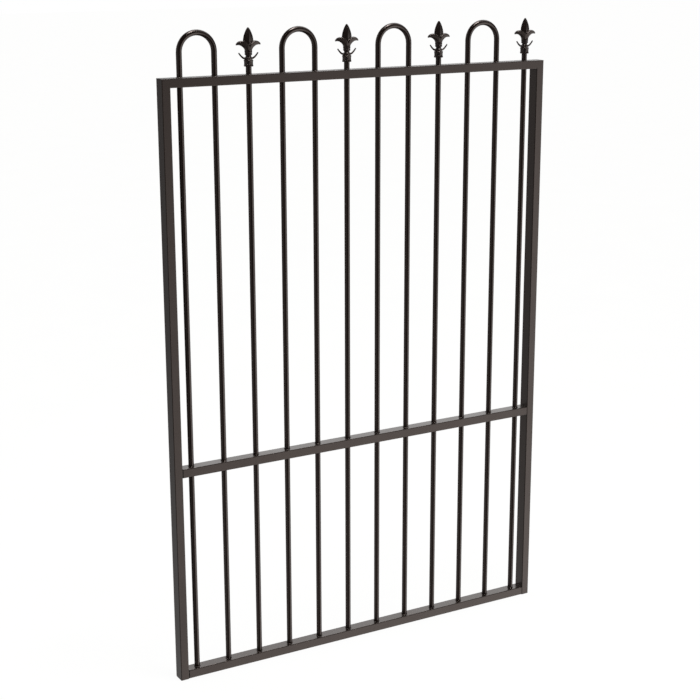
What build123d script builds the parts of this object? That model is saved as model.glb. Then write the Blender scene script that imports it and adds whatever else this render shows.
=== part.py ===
from build123d import *
import os
from math import cos, radians, sin

os.makedirs("parts", exist_ok=True)

# Garden gate leaf: a welded tube frame, round infill bars, four hooped pairs and four spear finials.
# Origin at the bottom centre of the frame, X across the width, Y through the depth (front is -Y),
# Z up. Millimetres.

# Frame
frame_width = 1255.0
frame_height = 1750.0
tube_face = 25.0
tube_depth = 38.0
tube_wall = 2.0
tube_corner = 2.0
tube_bore_corner = 0.8

# Middle and bottom rails, a little shallower than the outer frame
rail_face = 26.0
rail_depth = 35.5
rail_wall = 2.0
mid_rail_z = 638.0
bottom_rail_z = rail_face / 2

# Infill bars
bar_diameter = 16.0
bar_count = 12
bar_pitch = 103.2
bar_hole = 16.6
bar_foot_gap = 0.2
bar_end_chamfer = 1.0

# Hoops
hoop_radius = bar_pitch / 2
hoop_centre_z = frame_height + 65.7

# Welds
bead_leg = 1.6
end_bead_leg = 2.4

# Finial castings, heights above the top of the frame
collar_z = 21.0
collar_top_z = 39.4
collar_radius = 13.3
collar_waist_radius = 12.7
collar_roll = 1.6
socket_radius = 8.15
socket_depth = 15.5
neck_z = 50.7
neck_radius = 7.7
cup_radius = 10.6
cup_top_z = 65.3
leaf_thickness = 12.0
scroll_thickness = 5.6
# Outlines of the right side as (x, height); the left side is their mirror image
leaf_under = [(0, 58.3), (10.2, 63.5), (15.0, 71.7), (20.9, 76.2), (28.7, 79.0), (37.2, 79.0)]
leaf_over = [(37.6, 80.6), (34.0, 85.7), (28.0, 89.5), (21.0, 90.7), (12.0, 88.4)]
leaf_root = [(0, 88.4), (0, 58.3)]
scroll_under = [(6.0, 40.4), (11.0, 40.6), (16.6, 42.6), (22.2, 46.9), (30.2, 56.4)]
scroll_over = [(28.4, 59.0), (21.6, 53.6), (16.8, 50.2), (12.2, 47.6), (6.0, 46.6)]
neck_shoulder = (10.4, 42.4)
neck_flare = 3.2
# Spear blade sections: height, half width, half thickness
spear_sections = [
    (64.3, 8.6, 6.4),
    (77.3, 12.4, 7.8),
    (90.7, 15.8, 8.4),
    (101.8, 14.1, 8.4),
    (112.3, 10.2, 7.6),
    (119.5, 6.3, 5.4),
    (124.6, 2.8, 2.4),
    (126.3, 0.8, 0.8),
]

# Grub screws locking the finials, set round to the left of the front
grub_angle = 36.0
grub_diameter = 6.0
grub_bore = 6.2
grub_length = 3.6
grub_seat = 0.05
grub_key_radius = 1.7
grub_key_depth = 1.8

# Tube end caps at the foot of each stile
cap_clearance = 0.2
cap_plate = 3.0
cap_skirt = 14.0
cap_skirt_wall = 1.6
cap_skirt_inset = 0.6
cap_rib = 0.8
cap_rib_count = 3

# Derived positions
half_width = frame_width / 2
stile_x = half_width - tube_face / 2
stile_inner_x = half_width - tube_face
rail_length = 2 * stile_inner_x
first_bar_x = -bar_pitch * (bar_count - 1) / 2
bar_x = [first_bar_x + i * bar_pitch for i in range(bar_count)]
picket_index = [2, 5, 8, 11]
hoop_index = [0, 3, 6, 9]
bar_foot_z = rail_wall + bar_foot_gap
top_rail_z = frame_height - tube_face / 2
picket_top_z = frame_height + collar_z + socket_depth - bar_foot_gap
grub_tip_radius = bar_diameter / 2 + grub_seat
ring_inner = bar_diameter / 2
ring_outer = bar_hole / 2 + bead_leg
bar_points = [(x, 0) for x in bar_x]


def tube_section(across, deep, wall, centre):
    """Rectangular tube profile with rounded corners, drawn in the current sketch."""
    with Locations(centre):
        RectangleRounded(across, deep, tube_corner)
        RectangleRounded(across - 2 * wall, deep - 2 * wall, tube_bore_corner, mode=Mode.SUBTRACT)


# Outer frame: two stiles mitred into the top rail
def make_stile(side):
    """Upright tube on one side; side is -1 for left and 1 for right."""
    with BuildPart() as stile:
        with BuildSketch(Plane.XY):
            tube_section(tube_face, tube_depth, tube_wall, (side * stile_x, 0))
        extrude(amount=frame_height)
        with BuildSketch(Plane.XZ):
            with BuildLine():
                Polyline(
                    (side * half_width, frame_height),
                    (side * stile_inner_x, frame_height - tube_face),
                    (side * stile_inner_x, frame_height),
                    close=True,
                )
            make_face()
        extrude(amount=tube_depth, both=True, mode=Mode.SUBTRACT)
    return stile


left_stile = make_stile(-1)
left_stile.part.label = "left_stile"
export_step(left_stile.part, "parts/left_stile.step")

right_stile = make_stile(1)
right_stile.part.label = "right_stile"
export_step(right_stile.part, "parts/right_stile.step")

with BuildPart() as top_rail:
    with BuildSketch(Plane.YZ.offset(-half_width)):
        tube_section(tube_depth, tube_face, tube_wall, (0, top_rail_z))
    extrude(amount=frame_width)
    for side in (-1, 1):
        with BuildSketch(Plane.XZ):
            with BuildLine():
                Polyline(
                    (side * half_width, frame_height),
                    (side * stile_inner_x, frame_height - tube_face),
                    (side * half_width, frame_height - tube_face),
                    close=True,
                )
            make_face()
        extrude(amount=tube_depth, both=True, mode=Mode.SUBTRACT)
    with BuildSketch(Plane.XY.offset(frame_height - tube_face)):
        with Locations(*bar_points):
            Circle(bar_hole / 2)
    extrude(amount=tube_face, mode=Mode.SUBTRACT)
top_rail.part.label = "top_rail"
export_step(top_rail.part, "parts/top_rail.step")

with BuildPart() as middle_rail:
    with BuildSketch(Plane.YZ.offset(-stile_inner_x)):
        tube_section(rail_depth, rail_face, rail_wall, (0, mid_rail_z))
    extrude(amount=rail_length)
    with BuildSketch(Plane.XY.offset(mid_rail_z - rail_face / 2)):
        with Locations(*bar_points):
            Circle(bar_hole / 2)
    extrude(amount=rail_face, mode=Mode.SUBTRACT)
middle_rail.part.label = "middle_rail"
export_step(middle_rail.part, "parts/middle_rail.step")

with BuildPart() as bottom_rail:
    with BuildSketch(Plane.YZ.offset(-stile_inner_x)):
        tube_section(rail_depth, rail_face, rail_wall, (0, bottom_rail_z))
    extrude(amount=rail_length)
    with BuildSketch(Plane.XY.offset(bottom_rail_z)):
        with Locations(*bar_points):
            Circle(bar_hole / 2)
    extrude(amount=rail_face, mode=Mode.SUBTRACT)
bottom_rail.part.label = "bottom_rail"
export_step(bottom_rail.part, "parts/bottom_rail.step")

# Hooped pairs: one bar bent over and back down into the bottom rail
for number, index in enumerate(hoop_index, 1):
    with BuildPart() as hoop:
        with BuildLine():
            left_leg = Line((bar_x[index], 0, bar_foot_z), (bar_x[index], 0, hoop_centre_z))
            arch = ThreePointArc(
                left_leg @ 1,
                (bar_x[index] + hoop_radius, 0, hoop_centre_z + hoop_radius),
                (bar_x[index] + 2 * hoop_radius, 0, hoop_centre_z),
            )
            Line(arch @ 1, (bar_x[index] + 2 * hoop_radius, 0, bar_foot_z))
        with BuildSketch(Plane.XY.offset(bar_foot_z)):
            with Locations((bar_x[index], 0)):
                Circle(bar_diameter / 2)
        sweep()
    hoop.part.label = f"hoop_{number}"
    export_step(hoop.part, f"parts/hoop_{number}.step")

# Single bars that carry the finials
for number, index in enumerate(picket_index, 1):
    with BuildPart() as picket:
        with BuildSketch(Plane.XY.offset(bar_foot_z)):
            with Locations((bar_x[index], 0)):
                Circle(bar_diameter / 2)
        extrude(amount=picket_top_z - bar_foot_z)
        chamfer(picket.edges().sort_by(Axis.Z)[-1], bar_end_chamfer)
    picket.part.label = f"picket_{number}"
    export_step(picket.part, f"parts/picket_{number}.step")


# Spear finials
def grub_plane(x):
    """Plane square to a grub screw, on the axis of the bar at x, facing out of the collar."""
    bearing = radians(grub_angle)
    return Plane(
        origin=(x, 0, frame_height + (collar_z + collar_top_z) / 2),
        x_dir=(0, 0, 1),
        z_dir=(-sin(bearing), -cos(bearing), 0),
    )


def make_finial(x):
    """Casting on one bar: turned collar and cup, scroll arms, side leaves and a spear blade."""
    elevation = Plane(origin=(x, 0, frame_height), x_dir=(1, 0, 0), z_dir=(0, -1, 0))
    with BuildPart() as finial:
        with BuildSketch(elevation):
            with BuildLine():
                foot = Line((0, collar_z), (collar_radius - collar_roll, collar_z))
                lower_roll = ThreePointArc(
                    foot @ 1,
                    (collar_radius, collar_z + collar_roll),
                    (collar_waist_radius, collar_z + 2 * collar_roll),
                )
                waist = Line(lower_roll @ 1, (collar_waist_radius, collar_top_z - 2 * collar_roll))
                upper_roll = ThreePointArc(
                    waist @ 1,
                    (collar_radius, collar_top_z - collar_roll),
                    (collar_radius - collar_roll, collar_top_z),
                )
                neck = Spline(
                    upper_roll @ 1,
                    neck_shoulder,
                    (neck_radius, neck_z - neck_flare),
                    (neck_radius, neck_z),
                    (cup_radius, neck_z + neck_flare),
                )
                cup = Line(neck @ 1, (cup_radius, cup_top_z))
                Polyline(cup @ 1, (0, cup_top_z), (0, collar_z))
            make_face()
        revolve(axis=Axis((x, 0, frame_height), (0, 0, 1)))
        with BuildSketch(elevation):
            with BuildLine():
                under = Spline(*leaf_under)
                Line(under @ 1, leaf_over[0])
                over = Spline(*leaf_over)
                Polyline(over @ 1, *leaf_root)
            make_face()
            mirror(about=Plane.YZ)
        extrude(amount=leaf_thickness / 2, both=True)
        with BuildSketch(elevation):
            with BuildLine():
                under = Spline(*scroll_under)
                Line(under @ 1, scroll_over[0])
                over = Spline(*scroll_over)
                Line(over @ 1, under @ 0)
            make_face()
            mirror(about=Plane.YZ)
        extrude(amount=scroll_thickness / 2, both=True)
        for height, blade_half_width, blade_half_thickness in spear_sections:
            with BuildSketch(Plane((x, 0, frame_height + height))):
                with BuildLine():
                    Polyline(
                        (blade_half_width, 0),
                        (0, blade_half_thickness),
                        (-blade_half_width, 0),
                        (0, -blade_half_thickness),
                        close=True,
                    )
                make_face()
        loft()
        with BuildSketch(Plane((x, 0, frame_height + collar_z))):
            Circle(socket_radius)
        extrude(amount=socket_depth, mode=Mode.SUBTRACT)
        with BuildSketch(grub_plane(x)):
            Circle(grub_bore / 2)
        extrude(amount=collar_radius, mode=Mode.SUBTRACT)
    return finial


for number, index in enumerate(picket_index, 1):
    finial = make_finial(bar_x[index])
    finial.part.label = f"finial_{number}"
    export_step(finial.part, f"parts/finial_{number}.step")

with BuildPart() as finial_grub_screws:
    for index in picket_index:
        with BuildSketch(grub_plane(bar_x[index]).offset(grub_tip_radius)):
            Circle(grub_diameter / 2)
        extrude(amount=grub_length)
        with BuildSketch(grub_plane(bar_x[index]).offset(grub_tip_radius + grub_length)):
            RegularPolygon(grub_key_radius, 6)
        extrude(amount=-grub_key_depth, mode=Mode.SUBTRACT)
finial_grub_screws.part.label = "finial_grub_screws"
export_step(finial_grub_screws.part, "parts/finial_grub_screws.step")


# End caps pressed into the open foot of each stile
def make_end_cap(side):
    """Plug flush with the foot of the tube, with a skirt up the bore and gripping ribs."""
    bore_face = tube_face - 2 * tube_wall
    bore_depth = tube_depth - 2 * tube_wall
    grip_face = bore_face - cap_clearance
    grip_depth = bore_depth - cap_clearance
    with BuildPart() as cap:
        with BuildSketch(Plane.XY):
            with Locations((side * stile_x, 0)):
                RectangleRounded(grip_face, grip_depth, tube_bore_corner)
        extrude(amount=cap_plate)
        skirt_face = bore_face - 2 * cap_skirt_inset
        skirt_depth = bore_depth - 2 * cap_skirt_inset
        hollow_face = skirt_face - 2 * cap_skirt_wall
        hollow_depth = skirt_depth - 2 * cap_skirt_wall
        with BuildSketch(Plane.XY.offset(cap_plate)):
            with Locations((side * stile_x, 0)):
                Rectangle(skirt_face, skirt_depth)
                Rectangle(hollow_face, hollow_depth, mode=Mode.SUBTRACT)
        extrude(amount=cap_skirt)
        for rib in range(cap_rib_count):
            rib_z = cap_plate + (rib + 1) * cap_skirt / (cap_rib_count + 1)
            with BuildSketch(Plane.XY.offset(rib_z)):
                with Locations((side * stile_x, 0)):
                    RectangleRounded(grip_face, grip_depth, tube_bore_corner)
                    Rectangle(skirt_face - cap_skirt_wall, skirt_depth - cap_skirt_wall, mode=Mode.SUBTRACT)
            extrude(amount=cap_rib)
    return cap


left_end_cap = make_end_cap(-1)
left_end_cap.part.label = "left_end_cap"
export_step(left_end_cap.part, "parts/left_end_cap.step")

right_end_cap = make_end_cap(1)
right_end_cap.part.label = "right_end_cap"
export_step(right_end_cap.part, "parts/right_end_cap.step")


# Fillet welds round the bars, one bead ring at each face a bar passes through
def make_bar_welds(faces):
    """Bead rings at every bar; faces lists (height, direction) with direction 1 up or -1 down."""
    with BuildPart() as beads:
        for x in bar_x:
            for height, direction in faces:
                with BuildSketch(Plane(origin=(x, 0, height), x_dir=(1, 0, 0), z_dir=(0, -1, 0))):
                    with BuildLine():
                        Polyline(
                            (ring_inner, 0),
                            (ring_outer, 0),
                            (ring_inner + bead_leg / 3, direction * bead_leg),
                            (ring_inner, direction * bead_leg),
                            close=True,
                        )
                    make_face()
                revolve(axis=Axis((x, 0, height), (0, 0, 1)))
    return beads


top_bar_welds = make_bar_welds([(frame_height, 1), (frame_height - tube_face, -1)])
top_bar_welds.part.label = "top_bar_welds"
export_step(top_bar_welds.part, "parts/top_bar_welds.step")

middle_bar_welds = make_bar_welds(
    [(mid_rail_z + rail_face / 2, 1), (mid_rail_z - rail_face / 2, -1)]
)
middle_bar_welds.part.label = "middle_bar_welds"
export_step(middle_bar_welds.part, "parts/middle_bar_welds.step")

bottom_bar_welds = make_bar_welds([(rail_face, 1)])
bottom_bar_welds.part.label = "bottom_bar_welds"
export_step(bottom_bar_welds.part, "parts/bottom_bar_welds.step")

# Fillet welds in the inside corners, where the rails meet the stiles
with BuildPart() as rail_end_welds:
    for side in (-1, 1):
        for height, direction in (
            (mid_rail_z + rail_face / 2, 1),
            (mid_rail_z - rail_face / 2, -1),
            (rail_face, 1),
        ):
            with BuildSketch(Plane.XZ):
                with BuildLine():
                    Polyline(
                        (side * stile_inner_x, height),
                        (side * (stile_inner_x - end_bead_leg), height),
                        (side * stile_inner_x, height + direction * end_bead_leg),
                        close=True,
                    )
                make_face()
            extrude(amount=rail_depth / 2 - tube_corner, both=True)
rail_end_welds.part.label = "rail_end_welds"
export_step(rail_end_welds.part, "parts/rail_end_welds.step")

with BuildPart() as corner_welds:
    for side in (-1, 1):
        with BuildSketch(Plane.XZ):
            with BuildLine():
                Polyline(
                    (side * stile_inner_x, frame_height - tube_face),
                    (side * (stile_inner_x - end_bead_leg), frame_height - tube_face),
                    (side * stile_inner_x, frame_height - tube_face - end_bead_leg),
                    close=True,
                )
            make_face()
        extrude(amount=tube_depth / 2 - tube_corner, both=True)
corner_welds.part.label = "corner_welds"
export_step(corner_welds.part, "parts/corner_welds.step")
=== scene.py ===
import math

import bmesh
import bpy
from mathutils import Matrix, Vector, noise


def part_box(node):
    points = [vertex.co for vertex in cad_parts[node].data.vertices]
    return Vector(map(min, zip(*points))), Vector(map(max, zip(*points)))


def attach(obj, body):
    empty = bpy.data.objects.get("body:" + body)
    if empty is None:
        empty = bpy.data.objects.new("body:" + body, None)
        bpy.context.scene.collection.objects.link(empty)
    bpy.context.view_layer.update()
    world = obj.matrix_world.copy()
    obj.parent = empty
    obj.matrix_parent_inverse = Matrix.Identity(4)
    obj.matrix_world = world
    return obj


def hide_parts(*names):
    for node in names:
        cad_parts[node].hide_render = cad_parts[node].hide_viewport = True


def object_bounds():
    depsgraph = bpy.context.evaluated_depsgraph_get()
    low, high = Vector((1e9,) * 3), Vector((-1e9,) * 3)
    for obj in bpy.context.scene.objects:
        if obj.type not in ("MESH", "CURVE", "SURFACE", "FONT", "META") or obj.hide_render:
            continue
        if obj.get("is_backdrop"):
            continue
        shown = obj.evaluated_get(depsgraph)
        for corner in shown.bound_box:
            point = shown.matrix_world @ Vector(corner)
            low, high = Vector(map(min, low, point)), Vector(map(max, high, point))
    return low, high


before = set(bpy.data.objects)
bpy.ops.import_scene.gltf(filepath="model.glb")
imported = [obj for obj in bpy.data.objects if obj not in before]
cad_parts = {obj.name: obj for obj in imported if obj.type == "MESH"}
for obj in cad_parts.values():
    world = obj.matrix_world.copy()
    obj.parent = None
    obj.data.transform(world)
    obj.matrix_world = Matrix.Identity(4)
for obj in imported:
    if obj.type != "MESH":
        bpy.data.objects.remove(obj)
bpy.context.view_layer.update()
scene = bpy.context.scene


# ---------------------------------------------------------------- materials

class Nodes:
    """Short forms for building a node tree."""

    def __init__(self, tree):
        self.tree = tree
        tree.nodes.clear()

    def add(self, kind, values=None, **props):
        node = self.tree.nodes.new(kind)
        for key, value in props.items():
            setattr(node, key, value)
        for key, value in (values or {}).items():
            if isinstance(value, bpy.types.NodeSocket):
                self.tree.links.new(value, node.inputs[key])
            else:
                node.inputs[key].default_value = value
        return node

    def noise(self, vector, scale, detail=3.0, rough=0.5):
        node = self.add("ShaderNodeTexNoise", {"Vector": vector, "Scale": scale, "Detail": detail,
                                               "Roughness": rough})
        return node.outputs["Fac"]

    def ramp(self, value, low, high, to_low=0.0, to_high=1.0):
        node = self.add("ShaderNodeMapRange", {"Value": value, "From Min": low, "From Max": high,
                                               "To Min": to_low, "To Max": to_high})
        return node.outputs["Result"]

    def math(self, operation, a, b=0.0):
        node = self.add("ShaderNodeMath", {0: a, 1: b}, operation=operation)
        return node.outputs["Value"]

    def mix(self, factor, a, b):
        node = self.add("ShaderNodeMix", data_type="RGBA")
        for socket, value in ((node.inputs[0], factor), (node.inputs[6], a), (node.inputs[7], b)):
            if isinstance(value, bpy.types.NodeSocket):
                self.tree.links.new(value, socket)
            else:
                socket.default_value = value
        return node.outputs[2]


COAT_TINT = (1.0, 0.84, 0.77, 1.0)
DUST_COLOUR = (0.16, 0.14, 0.12, 1.0)
# Near-black colour of the painted shadow line where a rail meets the left stile.
SEAM_SHADOW_COLOUR = (0.001, 0.001, 0.001, 1.0)
SEAM_SHADOW_WIDTH = 0.0034
SEAM_SHADOW_SHARP = 0.0026
PATCH_SCALE = 9.0
SPECK_SCALE = 1400.0
SPECK_GAIN = 3.2


def coating(name, dark, light, rough, grain, grain_depth, lump, lump_depth, dust=0.0,
            tint=COAT_TINT, shadow_line_end=0.0):
    """Powder coat or paint: mottled colour, a fine orange peel and slower waves under it.

    grain and lump are sizes in metres, and their depths are in metres too. The last argument is how far
    left of the middle a rail ends; along that joint the colour is painted near black as a painted shadow
    line, and the coat is rougher there.
    """
    material = bpy.data.materials.new(name)
    material.use_nodes = True
    n = Nodes(material.node_tree)
    where = n.add("ShaderNodeTexCoord").outputs["Object"]
    peel = n.noise(where, 1.0 / grain, 2.0, 0.45)
    wave = n.noise(where, 1.0 / lump, 3.0, 0.5)
    patch = n.noise(where, PATCH_SCALE, 4.0, 0.6)
    speck = n.noise(where, SPECK_SCALE, 1.0, 0.5)
    tone = n.math("ADD", n.math("MULTIPLY", patch, 0.6), n.math("MULTIPLY", peel, 0.4))
    colour = n.mix(n.ramp(tone, 0.3, 0.7), dark, light)
    bright = n.ramp(speck, 0.66, 0.74, 0.0, 0.35)
    colour = n.mix(bright, colour, [SPECK_GAIN * c for c in light[:3]] + [1.0])
    if dust:
        normal = n.add("ShaderNodeNewGeometry").outputs["Normal"]
        up = n.add("ShaderNodeSeparateXYZ", {"Vector": normal}).outputs["Z"]
        settled = n.math("MULTIPLY", n.ramp(up, 0.5, 1.0), n.ramp(patch, 0.35, 0.65, 0.4, 1.0))
        colour = n.mix(n.math("MULTIPLY", settled, dust), colour, DUST_COLOUR)
    gloss = n.math("ADD", n.ramp(patch, 0.3, 0.7, rough - 0.045, rough + 0.045),
                   n.ramp(peel, 0.2, 0.8, -0.03, 0.03))
    # Painted shade: a near-black band on the rail's left end, a painted shadow line along the joint with
    # the stile. The band is also made rougher.
    if shadow_line_end:
        along = n.add("ShaderNodeSeparateXYZ", {"Vector": where}).outputs["X"]
        painted_seam_shadow = n.ramp(along, SEAM_SHADOW_WIDTH - shadow_line_end, SEAM_SHADOW_SHARP - shadow_line_end)
        gloss = n.math("ADD", gloss, n.math("MULTIPLY", painted_seam_shadow, 0.6))
        colour = n.mix(painted_seam_shadow, colour, SEAM_SHADOW_COLOUR)
    low = n.add("ShaderNodeBump", {"Height": wave, "Distance": lump_depth, "Strength": 1.0})
    high = n.add("ShaderNodeBump", {"Height": peel, "Distance": grain_depth, "Strength": 1.0,
                                    "Normal": low.outputs["Normal"]})
    shader = n.add("ShaderNodeBsdfPrincipled", {"Base Color": colour, "Roughness": gloss,
                                                "Normal": high.outputs["Normal"]})
    shader.inputs["IOR"].default_value = 1.5
    shader.inputs["Specular Tint"].default_value = tint
    out = n.add("ShaderNodeOutputMaterial")
    n.tree.links.new(shader.outputs["BSDF"], out.inputs["Surface"])
    return material


DARK = (0.0030, 0.0016, 0.0012, 1.0)
LIGHT = (0.0058, 0.0032, 0.0025, 1.0)
TUBE_FINISH = dict(rough=0.26, grain=0.0011, grain_depth=0.000008, lump=0.012, lump_depth=0.00003,
                   dust=0.04)
FRAME_COAT = coating("frame_powder_coat", DARK, LIGHT, **TUBE_FINISH)
# The rails' coat carries the painted shadow line at the left rail joints.
RAIL_COAT_SEAM_SHADOW = coating("rail_powder_coat_seam_shadow", DARK, LIGHT, **TUBE_FINISH, shadow_line_end=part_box("middle_rail")[1][0])
BAR_COAT = coating("bar_powder_coat", DARK, LIGHT, rough=0.24, grain=0.0009, grain_depth=0.000006,
                   lump=0.02, lump_depth=0.00003)
CAST_COAT = coating("casting_powder_coat", DARK, LIGHT, rough=0.38, grain=0.0016, grain_depth=0.00005,
                    lump=0.006, lump_depth=0.00016, dust=0.04)
WELD_COAT = coating("weld_powder_coat", DARK, LIGHT, rough=0.46, grain=0.0008, grain_depth=0.00002,
                    lump=0.004, lump_depth=0.00008)
SCREW_STEEL = coating("black_oxide_steel", (0.004, 0.0037, 0.0035, 1.0), (0.009, 0.0085, 0.008, 1.0),
                      rough=0.5, grain=0.0004, grain_depth=0.00001, lump=0.003, lump_depth=0.00002,
                      tint=(1.0, 0.97, 0.95, 1.0))
CAP_PLASTIC = coating("cap_plastic", (0.008, 0.008, 0.008, 1.0), (0.014, 0.014, 0.014, 1.0),
                      rough=0.55, grain=0.0006, grain_depth=0.00003, lump=0.005, lump_depth=0.00002,
                      tint=(1.0, 1.0, 1.0, 1.0))


def give(node, material):
    """Puts a material in every slot of a carried-over node."""
    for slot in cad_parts[node].material_slots:
        slot.material = material


for node in ("left_stile", "right_stile", "top_rail"):
    give(node, FRAME_COAT)
for node in ("middle_rail", "bottom_rail"):
    give(node, RAIL_COAT_SEAM_SHADOW)
for number in range(1, 5):
    give(f"hoop_{number}", BAR_COAT)
    give(f"picket_{number}", BAR_COAT)
give("finial_grub_screws", SCREW_STEEL)
for node in ("left_end_cap", "right_end_cap"):
    give(node, CAP_PLASTIC)


# ---------------------------------------------------------------- mesh helpers

def new_piece(name, mesh, material, replaced):
    """One visible piece riding on the leaf, standing for the CAD nodes it replaces."""
    piece = bpy.data.objects.new(name, mesh)
    scene.collection.objects.link(piece)
    if not mesh.materials:
        mesh.materials.append(material)
    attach(piece, "root")
    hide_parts(*replaced)
    return piece


def skin(bm, rows, wrap=False):
    """Joins rings of points into a closed surface: capped at both ends, or end to end if wrap."""
    rings = [[bm.verts.new(p) for p in row] for row in rows]
    count = len(rings[0])
    for low, high in zip(rings, rings[1:] + rings[:1] if wrap else rings[1:]):
        for i in range(count):
            j = (i + 1) % count
            bm.faces.new((low[i], low[j], high[j], high[i]))
    if not wrap:
        bm.faces.new(list(reversed(rings[0])))
        bm.faces.new(rings[-1])


def spline(points, t):
    """Catmull-Rom point at t from 0 to 1 through a list of tuples."""
    span = len(points) - 1
    s = min(max(t, 0.0), 1.0) * span
    i = min(int(s), span - 1)
    f = s - i
    p = [Vector(points[min(max(k, 0), span)]) for k in (i - 1, i, i + 1, i + 2)]
    return 0.5 * ((2 * p[1]) + (p[2] - p[0]) * f + (2 * p[0] - 5 * p[1] + 4 * p[2] - p[3]) * f * f
                  + (3 * p[1] - p[0] - 3 * p[2] + p[3]) * f ** 3)


def turns(count):
    """Equal angles round a full circle."""
    return [2 * math.pi * i / count for i in range(count)]


def lathe(bm, profile, steps):
    """Turned solid: profile is (radius, height) pairs, smoothed by a spline."""
    rows = []
    for k in range(steps + 1):
        radius, height = spline(profile, k / steps)
        rows.append([(radius * math.cos(a), radius * math.sin(a), height) for a in turns(72)])
    skin(bm, rows)


def blade(bm, left, right, depth, power=2.0, steps=48, across=20, edge=0.5):
    """Closed leaf form between two outlines, given as (x, z) lists from root to tip.

    depth(u, p) is the half thickness at u along it and at the point p, power shapes its section,
    and edge is the half thickness left at its rim.
    """
    rows = []
    for k in range(steps + 1):
        u = k / steps
        a, b = spline(left, u), spline(right, u)
        row = []
        for side in (1, -1):
            for i in range(across + 1):
                v = side * (2 * i / across - 1)
                p = a.lerp(b, (v + 1) / 2)
                row.append((p.x, -side * (edge + depth(u, p) * (1 - abs(v) ** power)), p.y))
        rows.append(row)
    skin(bm, rows)


def tube(bm, path, radius_x, radius_y, steps=40):
    """Solid along a planar path of (x, z) points, with an oval section that changes along it.

    The far end is rounded over the last part of the path, from round_from.
    """
    round_from, round_over = 0.93, 0.072
    rows = []
    for k in range(steps + 1):
        u = k / steps
        p = spline(path, u)
        q = spline(path, min(u + 0.01, 1.0)) - spline(path, max(u - 0.01, 0.0))
        side = Vector((-q.y, q.x)).normalized()
        end = math.sqrt(1 - max(0.0, (u - round_from) / round_over) ** 2)
        wide, deep = radius_x(u) * end, radius_y(u) * end
        rows.append([(p.x + side.x * wide * math.cos(a), deep * math.sin(a),
                      p.y + side.y * wide * math.cos(a)) for a in turns(20)])
    skin(bm, rows)


def mirrored(points):
    return [(-x, z) for x, z in points]


# ---------------------------------------------------------------- finials

# The finial's numbers are millimetres, about the bar and up from the top rail's upper face.
MILLIMETRE = 0.001
GRUB_TURN = math.radians(36.0)
GRUB_OUT = Vector((-math.sin(GRUB_TURN), -math.cos(GRUB_TURN), 0.0))
GRUB_SIDE = Vector((GRUB_OUT.y, -GRUB_OUT.x, 0.0))
GRUB_HEIGHT = 30.2
SOCKET_RADIUS = 8.15
SOCKET_TOP = 36.5
CASTING_VOXEL = 0.00055
FINIAL_DETAIL = 0.3


def grub_ring(radius, reach):
    """Circle across the grub screw's axis, at a distance of reach from the bar's middle."""
    centre = GRUB_OUT * reach + Vector((0, 0, GRUB_HEIGHT))
    return [centre + GRUB_SIDE * radius * math.cos(a) + Vector((0, 0, radius * math.sin(a)))
            for a in turns(40)]


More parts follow.
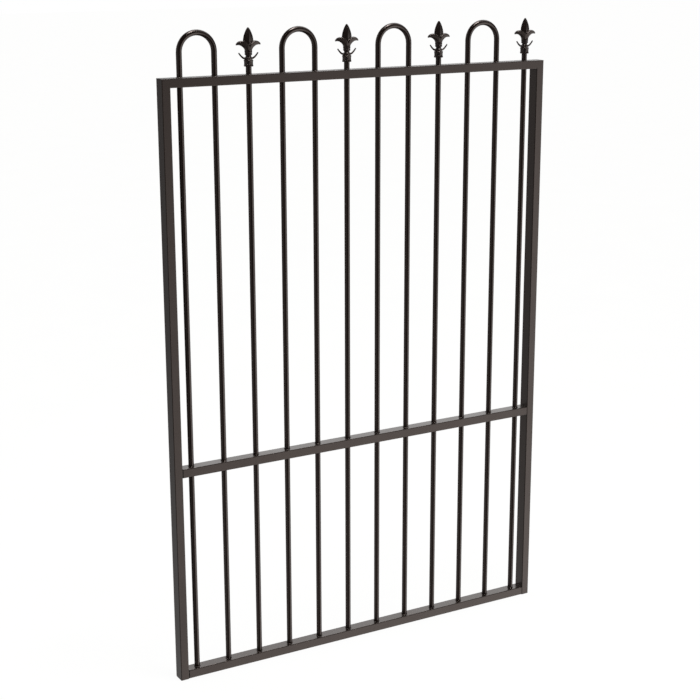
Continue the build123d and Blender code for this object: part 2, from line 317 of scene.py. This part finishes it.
def finial_mesh():
    """Cast finial: turned, bladed and bent forms fused by a voxel remesh, in metres."""
    bm = bmesh.new()
    collar = [(8.1, 21.1), (11.6, 20.95), (12.95, 21.7), (13.3, 23.0), (12.95, 24.4), (12.4, 26.2),
              (12.3, 30.2), (12.4, 34.0), (12.9, 35.6), (13.25, 37.1), (12.9, 38.5), (11.6, 39.4),
              (10.4, 39.9), (10.0, 40.8), (10.3, 42.5), (10.4, 44.1), (9.7, 45.9), (8.2, 47.5),
              (7.6, 49.1), (7.7, 50.6), (9.2, 51.9), (10.4, 53.5), (10.55, 55.3), (9.7, 56.6),
              (9.6, 57.7), (10.4, 58.9), (10.6, 60.9), (10.4, 63.1), (9.7, 64.9), (8.2, 66.5), (5.0, 68.3)]
    lathe(bm, collar, 150)
    under = [(0.6, 58.3), (8.6, 61.2), (10.5, 65.6), (12.6, 69.2), (15.0, 71.9), (17.9, 74.2),
             (20.9, 76.3), (24.7, 78.1), (28.7, 79.0), (32.8, 79.2), (36.0, 78.7), (37.3, 79.2)]
    over = [(-5.0, 60.3), (-5.5, 66.0), (-4.6, 72.0), (-1.6, 78.0), (3.4, 83.6), (9.4, 87.8),
            (15.4, 90.0), (21.4, 90.7), (27.0, 89.8), (31.6, 87.6), (35.2, 84.2), (37.5, 80.4)]

    def leaf_depth(u, p):
        flare = 7.8 + 0.08 * (p.y - 60.0) - 0.2 * max(0.0, abs(p.x) - 4.0)
        return flare * min(1.0, (1.04 - u) * 9.0)

    blade(bm, under, over, leaf_depth, power=6.0)
    blade(bm, mirrored(under), mirrored(over), leaf_depth, power=6.0)
    edge = [(3.5, 62.3), (4.6, 68.3), (6.8, 74.3), (10.0, 80.3), (13.9, 85.7), (15.7, 90.7),
            (15.3, 96.3), (14.1, 101.8), (12.4, 107.1), (10.2, 112.3), (7.7, 117.4), (4.9, 122.0),
            (2.6, 125.0), (0.9, 126.2)]

    def spear_depth(u, p):
        return 8.0 * min(1.0, (1.0 - u) * 3.4 + 0.1) * (0.75 + 0.25 * min(1.0, u * 2.2))

    blade(bm, mirrored(edge), edge, spear_depth, power=1.04, steps=64)
    arm = [(5.0, 44.0), (9.5, 42.9), (14.2, 43.7), (18.2, 45.9), (22.2, 49.3), (26.0, 53.6), (29.8, 58.6)]
    for sign in (1, -1):
        tube(bm, [(sign * x, z) for x, z in arm], lambda u: 3.3 - 1.4 * u, lambda u: 3.3 - 1.5 * u)
    boss = ((5.6, 9.0), (5.6, 12.2), (5.3, 12.85), (4.7, 13.25), (4.0, 13.25))
    skin(bm, [grub_ring(radius, reach) for radius, reach in boss])
    bmesh.ops.recalc_face_normals(bm, faces=bm.faces)
    bmesh.ops.scale(bm, vec=(MILLIMETRE, MILLIMETRE, MILLIMETRE), verts=bm.verts)
    mesh = bpy.data.meshes.new("finial_cast_form")
    bm.to_mesh(mesh)
    bm.free()
    rough = bpy.data.objects.new("finial_form", mesh)
    scene.collection.objects.link(rough)
    melt = rough.modifiers.new("melt", "REMESH")
    melt.mode = "VOXEL"
    melt.voxel_size = CASTING_VOXEL
    soften = rough.modifiers.new("soften", "SMOOTH")
    soften.factor = 0.5
    soften.iterations = 4
    cast = bpy.data.meshes.new_from_object(rough.evaluated_get(bpy.context.evaluated_depsgraph_get()))
    bpy.data.objects.remove(rough)
    return cast


def cutter(name, rows):
    """Closed tool, in metres, from rings of points in millimetres."""
    bm = bmesh.new()
    skin(bm, [[p * MILLIMETRE for p in row] for row in rows])
    bmesh.ops.recalc_face_normals(bm, faces=bm.faces)
    mesh = bpy.data.meshes.new(name)
    bm.to_mesh(mesh)
    bm.free()
    return bpy.data.objects.new(name, mesh)


def bored_finial(cast):
    """Thins the mesh, then cuts the bar's socket and the countersunk grub screw hole."""
    below_collar = 15.0
    socket = [[Vector((SOCKET_RADIUS * math.cos(a), SOCKET_RADIUS * math.sin(a), z)) for a in turns(64)]
              for z in (below_collar, SOCKET_TOP)]
    screw_hole = ((3.1, 6.0), (3.1, 12.5), (3.9, 13.35), (3.9, 16.0))
    tools = (cutter("socket_cutter", socket),
             cutter("grub_cutter", [grub_ring(radius, reach) for radius, reach in screw_hole]))
    body = bpy.data.objects.new("finial_body", cast)
    scene.collection.objects.link(body)
    thin = body.modifiers.new("thin", "DECIMATE")
    thin.ratio = FINIAL_DETAIL
    for tool in tools:
        scene.collection.objects.link(tool)
        cut = body.modifiers.new(tool.name, "BOOLEAN")
        cut.operation = "DIFFERENCE"
        cut.solver = "EXACT"
        cut.object = tool
    made = bpy.data.meshes.new_from_object(body.evaluated_get(bpy.context.evaluated_depsgraph_get()))
    for o in (*tools, body):
        bpy.data.objects.remove(o)
    for face in made.polygons:
        face.use_smooth = True
    made.set_sharp_from_angle(angle=math.radians(50))
    made.materials.clear()
    made.materials.append(CAST_COAT)
    return made


finial = bored_finial(finial_mesh())
top_low, top_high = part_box("top_rail")
for number in range(1, 5):
    low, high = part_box(f"picket_{number}")
    mesh = finial.copy()
    mesh.transform(Matrix.Translation(((low[0] + high[0]) / 2, 0.0, top_high[2])))
    new_piece(f"finial_{number}_casting", mesh, CAST_COAT, [f"finial_{number}"])


# ---------------------------------------------------------------- welds

BEAD_POINTS = 7
ROOT_DEPTH = 0.0003


def ring_bead(bm, x, z, direction, seed):
    """Rippled fillet round a bar at x on a face at height z, built up or down from it."""
    inner, leg = 0.0079, 0.0021
    rows = []
    for a in turns(96):
        ripple = 1 + 0.07 * math.cos(17 * a + seed) + 0.16 * noise.noise(
            Vector((2.2 * math.cos(a), 2.2 * math.sin(a), seed)))
        row = []
        for k in range(BEAD_POINTS):
            b = k / (BEAD_POINTS - 1) * math.pi / 2
            out = inner + leg * ripple * (1 - 0.82 * math.sin(b)) * 0.98
            up = leg * 0.72 * ripple * (1 - 0.85 * math.cos(b))
            if k == 0:
                up = -ROOT_DEPTH
            if k == BEAD_POINTS - 1:
                out = inner - 0.0002
            row.append((x + out * math.cos(a), out * math.sin(a), z + direction * up))
        rows.append(row)
    skin(bm, rows, wrap=True)


def strip_bead(bm, x, z, to_x, to_z, half, seed):
    """Rippled fillet along the depth in the corner at x, z, reaching to_x across and to_z up."""
    leg, steps = 0.0024, 60
    rows = []
    for i in range(steps + 1):
        y = -half + 2 * half * i / steps
        end = math.sqrt(max(0.02, 1 - abs(y / half) ** 8))
        wander = noise.noise(Vector((y * 220, seed, 0)))
        ripple = (0.9 + 0.07 * math.cos(i * 1.25 + seed) + 0.12 * wander) * end
        row = []
        for k in range(BEAD_POINTS):
            b = k / (BEAD_POINTS - 1) * math.pi / 2
            across = leg * ripple * (1 - 0.8 * math.sin(b))
            rise = leg * ripple * (1 - 0.8 * math.cos(b))
            if k == 0:
                rise = -ROOT_DEPTH
            if k == BEAD_POINTS - 1:
                across = -ROOT_DEPTH
            row.append((x + to_x * across, y, z + to_z * rise))
        rows.append(row)
    skin(bm, rows)


def finish_beads(bm, name, replaced):
    bmesh.ops.recalc_face_normals(bm, faces=bm.faces)
    for face in bm.faces:
        face.smooth = True
    mesh = bpy.data.meshes.new(name)
    bm.to_mesh(mesh)
    bm.free()
    new_piece(name, mesh, WELD_COAT, replaced)


BAR_RADIUS = 0.008
RAIL_BEAD_HALF = 0.0154
CORNER_BEAD_HALF = 0.0169
bars = []
for number in range(1, 5):
    low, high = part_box(f"hoop_{number}")
    bars += [low[0] + BAR_RADIUS, high[0] - BAR_RADIUS]
    low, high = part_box(f"picket_{number}")
    bars.append((low[0] + high[0]) / 2)
bars.sort()
mid_low, mid_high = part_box("middle_rail")
foot_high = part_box("bottom_rail")[1]
for name, replaced, faces in (
    ("top_rail_bar_beads", "top_bar_welds", ((top_high[2], 1), (top_low[2], -1))),
    ("middle_rail_bar_beads", "middle_bar_welds", ((mid_high[2], 1), (mid_low[2], -1))),
    ("bottom_rail_bar_beads", "bottom_bar_welds", ((foot_high[2], 1),)),
):
    bm = bmesh.new()
    for i, x in enumerate(bars):
        for z, direction in faces:
            ring_bead(bm, x, z, direction, 1.7 * i + 5 * direction)
    finish_beads(bm, name, [replaced])

stile_faces = ((-1, mid_low[0]), (1, mid_high[0]))
bm = bmesh.new()
for side, x in stile_faces:
    for i, (z, direction) in enumerate(((mid_high[2], 1), (mid_low[2], -1), (foot_high[2], 1))):
        strip_bead(bm, x, z, -side, direction, RAIL_BEAD_HALF, 3.1 * i + side)
finish_beads(bm, "rail_end_beads", ["rail_end_welds"])
bm = bmesh.new()
for side, x in stile_faces:
    strip_bead(bm, x, top_low[2], -side, -1, CORNER_BEAD_HALF, 7.3 * side)
finish_beads(bm, "corner_beads", ["corner_welds"])


# ---------------------------------------------------------------- floor, light and camera

FLOOR_REACH = 40.0
FLOOR_GLOW = 0.93

floor_mesh = bpy.data.meshes.new("floor")
bm = bmesh.new()
for x, y in ((-1, -1), (1, -1), (1, 1), (-1, 1)):
    bm.verts.new((x * FLOOR_REACH, y * FLOOR_REACH, 0.0))
bm.faces.new(bm.verts)
bm.to_mesh(floor_mesh)
bm.free()
floor = bpy.data.objects.new("floor", floor_mesh)
scene.collection.objects.link(floor)
paper = bpy.data.materials.new("pale_floor")
paper.use_nodes = True
n = Nodes(paper.node_tree)
pale = n.noise(n.add("ShaderNodeTexCoord").outputs["Object"], 3.0, 2.0)
shader = n.add("ShaderNodeBsdfPrincipled", {
    "Base Color": n.mix(pale, (0.055, 0.055, 0.0545, 1), (0.065, 0.065, 0.0645, 1)),
    "Roughness": 0.9, "Emission Color": (1.0, 1.0, 0.997, 1.0), "Emission Strength": FLOOR_GLOW,
    "Specular IOR Level": 0.0})
n.tree.links.new(shader.outputs["BSDF"], n.add("ShaderNodeOutputMaterial").inputs["Surface"])
floor_mesh.materials.append(paper)
floor.visible_glossy = False
floor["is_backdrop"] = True

world = bpy.data.worlds.new("studio")
scene.world = world
world.use_nodes = True
n = Nodes(world.node_tree)
direction = n.add("ShaderNodeTexCoord").outputs["Generated"]


def lobe(axis, near, far, strength):
    """Soft light panel: full strength within near of an axis and none beyond far, as cosines."""
    aim = Vector(axis).normalized()
    facing = n.add("ShaderNodeVectorMath", {0: direction, 1: tuple(aim)}, operation="DOT_PRODUCT")
    soft = n.add("ShaderNodeMapRange", {"Value": facing.outputs["Value"], "From Min": far, "From Max": near,
                                        "To Min": 0.0, "To Max": strength}, interpolation_type="SMOOTHSTEP")
    return soft.outputs["Result"]


# Panels of light that only gloss sees: axis, cosines where each is full and gone, strength, and for
# some how it fades with height, from the first height and level to the second.
PANELS = (
    ((0.75, -0.62, -0.45), 0.96, 0.745, 2.0, (0.1, -0.5, 0.93, 1.21)),
    ((-0.93, 0.2, -0.35), 0.9, 0.2, 0.4, (-0.26, -0.44, 1.0, 1.8)),
    ((0.5, 0.75, 0.65), 0.95, 0.833, 1.75, None),
    ((0.45, -0.05, 0.9), 0.93, 0.7, 1.2, None),
    ((0.72, 0.68, -0.3), 0.96, 0.8, 0.8, (-0.05, -0.2, 0.0, 1.0)),
    ((-0.43, 0.82, 0.38), 0.975, 0.93, 1.4, None),
    ((0.07, -0.25, 0.96), 0.995, 0.975, 30.0, None),
)
ROOM_GLOW = 0.02

height = n.add("ShaderNodeSeparateXYZ", {"Vector": direction}).outputs["Z"]
light = ROOM_GLOW
for axis, near, far, strength, fade in PANELS:
    panel = lobe(axis, near, far, strength)
    if fade:
        panel = n.math("MULTIPLY", panel, n.ramp(height, *fade))
    light = n.math("ADD", light, panel)
mirror_ray = n.add("ShaderNodeLightPath").outputs["Is Glossy Ray"]
glow = n.add("ShaderNodeBackground", {"Color": (1, 1, 1, 1), "Strength": light})
white = n.add("ShaderNodeBackground", {"Color": (1, 1, 1, 1), "Strength": 1.0})
both = n.add("ShaderNodeMixShader", {0: mirror_ray, 1: white.outputs[0], 2: glow.outputs[0]})
n.tree.links.new(both.outputs[0], n.add("ShaderNodeOutputWorld").inputs["Surface"])


lamp = bpy.data.lights.new("overhead_softbox", "AREA")
lamp.shape = "SQUARE"
lamp.size = 1.6
lamp.energy = 120.0
softbox = bpy.data.objects.new("overhead_softbox", lamp)
scene.collection.objects.link(softbox)
softbox.location = (0.4, -1.3, 5.5)
softbox_aim = Vector((0.0, 0.0, 0.6)) - softbox.location
softbox.rotation_euler = softbox_aim.to_track_quat("-Z", "Y").to_euler()
softbox.visible_glossy = False

CAMERA_YAW = -29.872
CAMERA_DOWN = 15.014
CAMERA_ROLL = -0.117
camera_data = bpy.data.cameras.new("camera")
camera_data.lens = 79.37
camera_data.sensor_width = 36.0
camera = bpy.data.objects.new("camera", camera_data)
scene.collection.objects.link(camera)
camera.location = (-2.2545, -3.8504, 2.1151)
turn = Matrix.Rotation(math.radians(CAMERA_YAW), 4, "Z")
tilt = Matrix.Rotation(math.radians(90.0 - CAMERA_DOWN), 4, "X")
roll = Matrix.Rotation(math.radians(CAMERA_ROLL), 4, "Z")
camera.rotation_euler = (turn @ tilt @ roll).to_euler()
camera_data.clip_end = 200.0
scene.camera = camera
scene.view_settings.view_transform = "Standard"
scene.view_settings.look = "None"

bpy.context.view_layer.update()
low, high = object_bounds()
